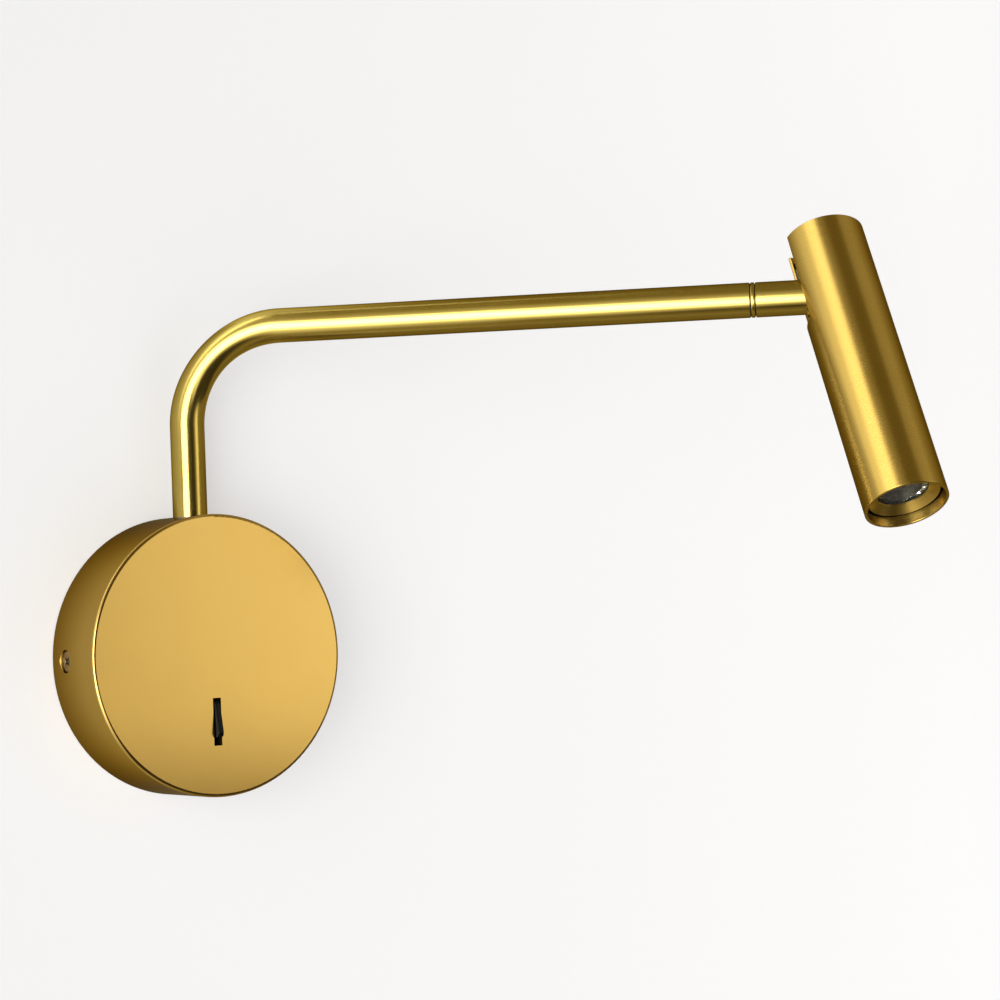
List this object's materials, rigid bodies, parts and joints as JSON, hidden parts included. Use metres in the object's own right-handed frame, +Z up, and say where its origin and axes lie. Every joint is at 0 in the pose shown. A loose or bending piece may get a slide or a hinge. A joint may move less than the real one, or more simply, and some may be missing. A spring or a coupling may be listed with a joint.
{
  "type": "wall reading lamp",
  "caption": "Wall reading lamp: round canopy with a rocker switch, a bent swivel arm and a slotted tube head that rolls and tilts.",
  "frame": {"origin": "middle of the wall-screw pattern on the wall, which is also the canopy's centre at its back", "axes": "+Y into the wall, -Y out into the room, +Z up along the stem, +X to the right seen from the room"},
  "size_m": [0.2387, 0.227, 0.1953],
  "materials": {
    "brass_satin": "satin brushed",
    "brass_drawn": "drawn and lacquered, fairly glossy",
    "brass_turned": "turned, satin",
    "brass_fitting": "turned",
    "screw_brass": "plated",
    "zinc_steel": "zinc plated",
    "black_nylon": "moulded, matt",
    "white_nylon": "moulded",
    "driver_plastic": "moulded",
    "foam": "closed-cell foam",
    "circuit_board": "solder mask",
    "white_board": "white solder mask on aluminium",
    "emitter": "phosphor",
    "core_aluminium": "turned",
    "lens_clear": "moulded, clear",
    "lead_brown": "smooth",
    "lead_blue": "smooth",
    "lead_green": "smooth",
    "lead_white": "smooth"
  },
  "bodies": {
    "canopy": {"canopy_cover": "brass_satin", "wall_plate": "zinc_steel", "side_screws": "screw_brass", "cable_grommet": "black_nylon", "terminal_block": "white_nylon", "terminal_clamps": "brass_fitting", "terminal_screws": "zinc_steel", "block_screw": "zinc_steel", "earth_screw": "brass_fitting", "earth_stud": "brass_fitting", "swivel_saddle": "zinc_steel", "swivel_bush": "white_nylon", "stop_peg": "zinc_steel", "switch_body": "black_nylon", "switch_studs": "zinc_steel", "switch_nuts": "zinc_steel", "switch_tags": "brass_fitting", "driver_case": "driver_plastic", "driver_lid": "driver_plastic", "driver_board": "circuit_board", "driver_pad_foam": "foam", "live_lead": "lead_brown", "switched_lead": "lead_brown", "neutral_lead": "lead_blue", "earth_lead": "lead_green", "lamp_lead": "lead_white"},
    "arm": {"arm_tube": "brass_drawn", "arm_foot": "brass_fitting", "foot_washer": "white_nylon", "stop_washer": "zinc_steel", "foot_spring_washer": "zinc_steel", "foot_nut": "zinc_steel", "arm_end_plug": "brass_drawn", "roll_peg": "zinc_steel", "arm_lead": "lead_white"},
    "knuckle": {"swivel_ring": "brass_drawn", "ring_washer": "black_nylon", "ring_gasket": "black_nylon", "swivel_screw": "zinc_steel", "swivel_spring_washer": "zinc_steel", "swivel_nut": "zinc_steel", "knuckle": "brass_drawn", "knuckle_lead": "lead_white"},
    "head": {"pivot_pins": "zinc_steel", "tilt_washers": "white_nylon", "head_sleeve": "brass_turned", "head_core": "core_aluminium", "rear_cap": "brass_turned", "grub_screw": "zinc_steel", "led_board": "white_board", "led_emitter": "emitter", "board_screws": "zinc_steel", "lens_holder": "black_nylon", "lens": "lens_clear", "bezel_ring": "brass_turned", "head_lead": "lead_white"},
    "rocker": {"rocker": "black_nylon", "rocker_pin": "zinc_steel"}
  },
  "joints": [
    {"name": "arm_swing", "type": "hinge", "parent": "canopy", "child": "arm", "pos_m": [0, -0.0125, 0.041], "axis": [0, 0, 1], "range_deg": [-131.6, 38.4]},
    {"name": "head_roll", "type": "hinge", "parent": "arm", "child": "knuckle", "pos_m": [0.1492, -0.15359, 0.117], "axis": [0.7266, -0.6871, 0], "range_deg": [-138.2, 191.8]},
    {"name": "head_tilt", "type": "hinge", "parent": "knuckle", "child": "head", "pos_m": [0.17075, -0.17397, 0.117], "axis": [0.6133, 0.6485, -0.4509], "range_deg": [-77.7, 23.8]},
    {"name": "rocker_tip", "type": "hinge", "parent": "canopy", "child": "rocker", "pos_m": [-0.0018, -0.0245, -0.0234], "axis": [1, 0, 0], "range_deg": [0, 23]}
  ]
}
